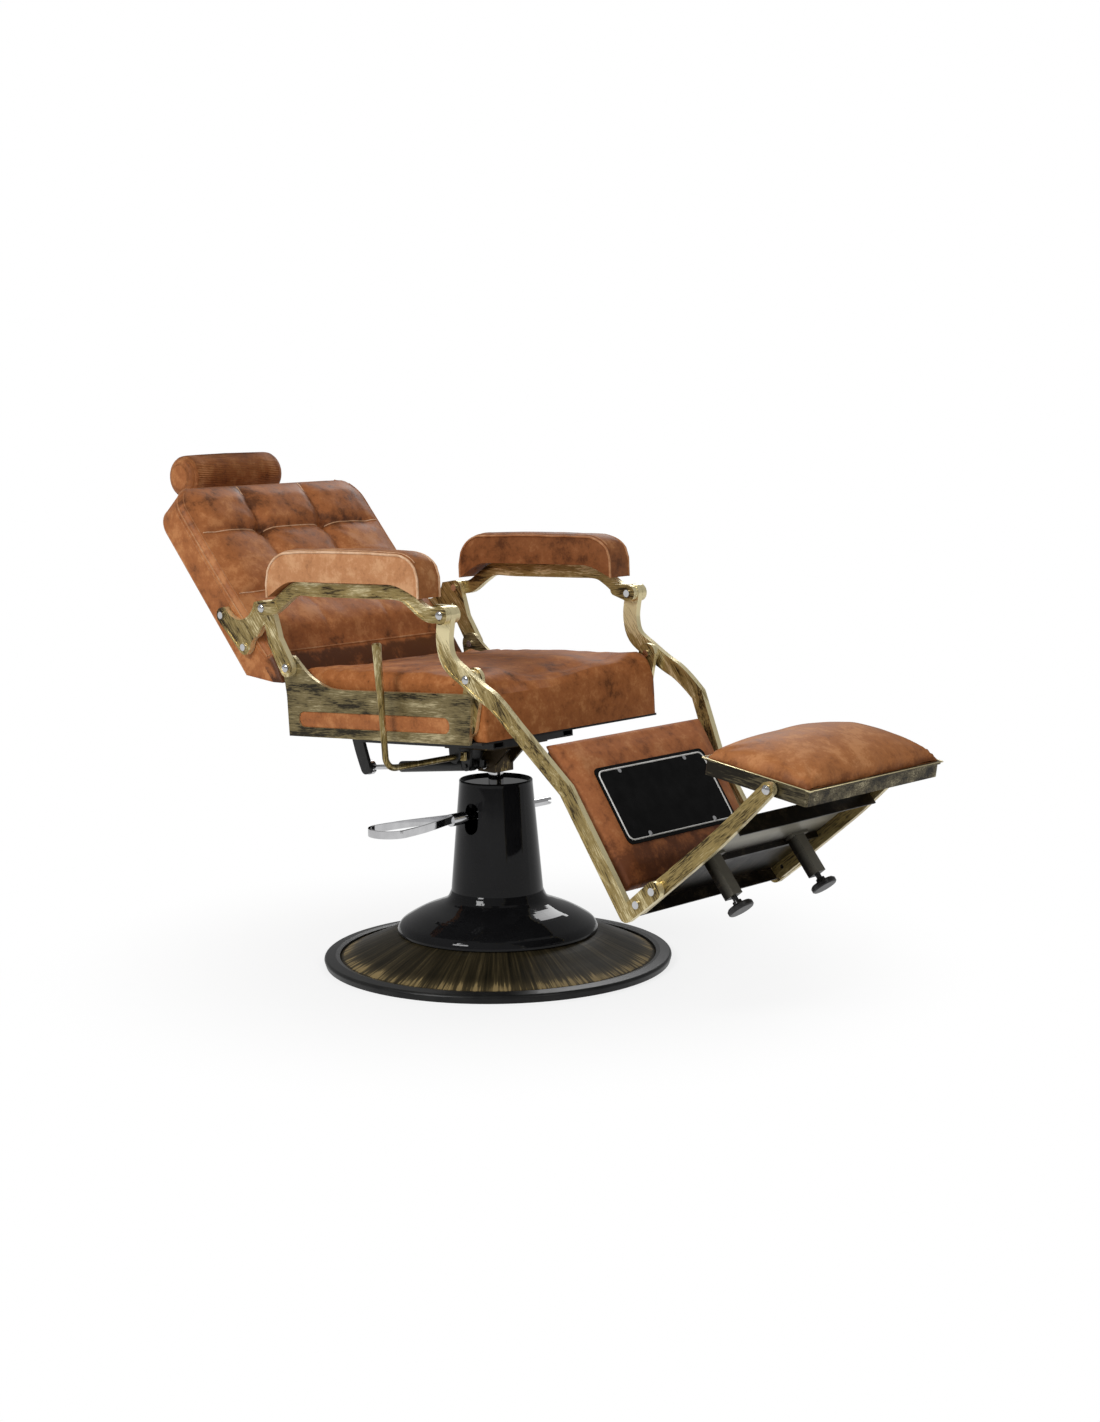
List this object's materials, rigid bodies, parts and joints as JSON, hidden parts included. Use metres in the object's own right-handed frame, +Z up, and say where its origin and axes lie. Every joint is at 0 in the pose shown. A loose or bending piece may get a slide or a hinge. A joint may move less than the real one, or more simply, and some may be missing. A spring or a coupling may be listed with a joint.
{
  "type": "hydraulic barber chair",
  "caption": "Pump-base barber chair with tufted reclining back, level arms on links, swinging leg rest with flip-over footrest, headrest and release lever.",
  "frame": {"origin": "on the floor at the pump's vertical axis, in the floor plate's underside", "axes": "+X the way the sitter faces, towards the leg rest; +Y the sitter's left; +Z up"},
  "size_m": [1.7129, 0.674, 0.9624],
  "materials": {
    "leather_cognac": "distressed semi-gloss",
    "leather_worn": "rubbed semi-gloss",
    "brass_casting": "brushed antique",
    "panel_bronze": "streaked antique",
    "chrome": "polished",
    "black_gloss": "gloss",
    "black_satin": "satin",
    "dark_steel": "satin",
    "base_rubber": "matte",
    "dish_gold": "radial brushed",
    "plate_brown": "brushed",
    "tray_bronze": "brushed antique",
    "tag_black": "gloss",
    "board_black": "painted",
    "carcass": "covered",
    "glide_black": "satin"
  },
  "bodies": {
    "stand": {"base_plate": "black_satin", "base_dish": "dish_gold", "base_ring": "base_rubber", "pump_cover": "black_gloss", "pump_cylinder": "dark_steel", "pump_cap": "black_gloss"},
    "pedal": {"pedal_yoke": "chrome", "pedal_loop": "chrome"},
    "lift": {"piston_head": "dark_steel"},
    "seat": {"piston_rod": "chrome", "pump_socket": "brass_casting", "socket_bolt": "chrome", "seat_rails": "black_satin", "seat_crossbars": "black_satin", "seat_board": "board_black", "side_panel_left": "panel_bronze", "side_panel_right": "panel_bronze", "side_strip_left": "leather_cognac", "side_strip_right": "leather_cognac", "front_ear_left": "dark_steel", "front_ear_right": "dark_steel", "seat_cushion": "leather_cognac", "seat_bolts": "chrome", "lever_hanger": "black_satin", "strut_hanger": "black_satin"},
    "lever": {"release_lever": "brass_casting", "lever_grip": "brass_casting"},
    "strut": {"strut_cylinder": "black_satin"},
    "strut_end": {"strut_rod": "chrome"},
    "back": {"back_shell": "carcass", "back_cushion": "leather_cognac", "back_bracket_left": "brass_casting", "back_bracket_right": "brass_casting", "back_screws": "chrome", "arm_bolts": "chrome", "recline_crank": "black_satin", "headrest_sleeve": "black_satin"},
    "headrest": {"headrest_post": "brass_casting", "headrest_roll": "leather_cognac"},
    "arms": {"arm_bar_left": "brass_casting", "arm_bar_right": "brass_casting", "arm_pad_left": "leather_worn", "arm_pad_right": "leather_worn"},
    "legrest": {"front_link_left": "brass_casting", "front_link_right": "brass_casting", "link_bolts": "chrome", "leg_crossbars": "black_satin", "calf_board": "board_black", "calf_pad": "leather_cognac", "blank_plate": "tag_black", "plate_screws": "chrome", "ear_screws": "chrome", "foot_bar_left": "brass_casting", "foot_bar_right": "brass_casting", "foot_plate": "plate_brown"},
    "glide_l": {"glide_left": "glide_black"},
    "glide_r": {"glide_right": "glide_black"},
    "footrest": {"footrest_tray": "tray_bronze", "footrest_dome": "leather_cognac", "tray_screws": "chrome"}
  },
  "joints": [
    {"name": "chair_lift", "type": "slide", "parent": "stand", "child": "lift", "axis": [0, 0, 1], "range_m": [0, 0.15]},
    {"name": "chair_swivel", "type": "hinge", "parent": "lift", "child": "seat", "pos_m": [0, 0, 0.35], "axis": [0, 0, 1], "continuous": true},
    {"name": "pedal_rock", "type": "hinge", "parent": "stand", "child": "pedal", "pos_m": [0, 0, 0.292], "axis": [1, 0, 0], "range_deg": [-5, 12], "stiffness_Nm_per_rad": 40, "springref_deg": -1.15},
    {"name": "back_recline", "type": "hinge", "parent": "seat", "child": "back", "pos_m": [-0.30257, 0, 0.57274], "axis": [0, 1, 0], "range_deg": [0, 30]},
    {"name": "arms_level", "type": "hinge", "parent": "back", "child": "arms", "pos_m": [-0.3536, 0, 0.68576], "axis": [0, 1, 0], "range_deg": [-30, 0]},
    {"name": "legrest_swing", "type": "hinge", "parent": "seat", "child": "legrest", "pos_m": [0.18332, 0, 0.58944], "axis": [0, 1, 0], "range_deg": [0, 30]},
    {"name": "strut_swing", "type": "hinge", "parent": "seat", "child": "strut", "pos_m": [-0.015, 0, 0.387], "axis": [0, 1, 0], "range_deg": [0, 5.7]},
    {"name": "strut_slide", "type": "slide", "parent": "strut", "child": "strut_end", "axis": [-0.9925, 0, -0.1219], "range_m": [0, 0.1106]},
    {"name": "lever_pull", "type": "hinge", "parent": "seat", "child": "lever", "pos_m": [-0.015, 0, 0.408], "axis": [0, 1, 0], "range_deg": [0, 25], "stiffness_Nm_per_rad": 6, "springref_deg": -11.46},
    {"name": "headrest_height", "type": "slide", "parent": "back", "child": "headrest", "axis": [-0.6613, 0, 0.7501], "range_m": [0, 0.08]},
    {"name": "footrest_flip", "type": "hinge", "parent": "legrest", "child": "footrest", "pos_m": [0.81178, 0, 0.45478], "axis": [0, 1, 0], "range_deg": [-35, 180]},
    {"name": "glide_left_height", "type": "slide", "parent": "legrest", "child": "glide_l", "axis": [0.6266, 0, -0.7793], "range_m": [0, 0.008]},
    {"name": "glide_right_height", "type": "slide", "parent": "legrest", "child": "glide_r", "axis": [0.6266, 0, -0.7793], "range_m": [0, 0.008]}
  ],
  "couplings": [
    {"joint": "arms_level", "follows": "back_recline", "ratio": -1},
    {"joint": "legrest_swing", "follows": "back_recline", "ratio": 1},
    {"joint": "strut_swing", "follows": "back_recline", "ratio": 0.1875},
    {"joint": "strut_slide", "follows": "back_recline", "m_per_rad": 0.211}
  ]
}
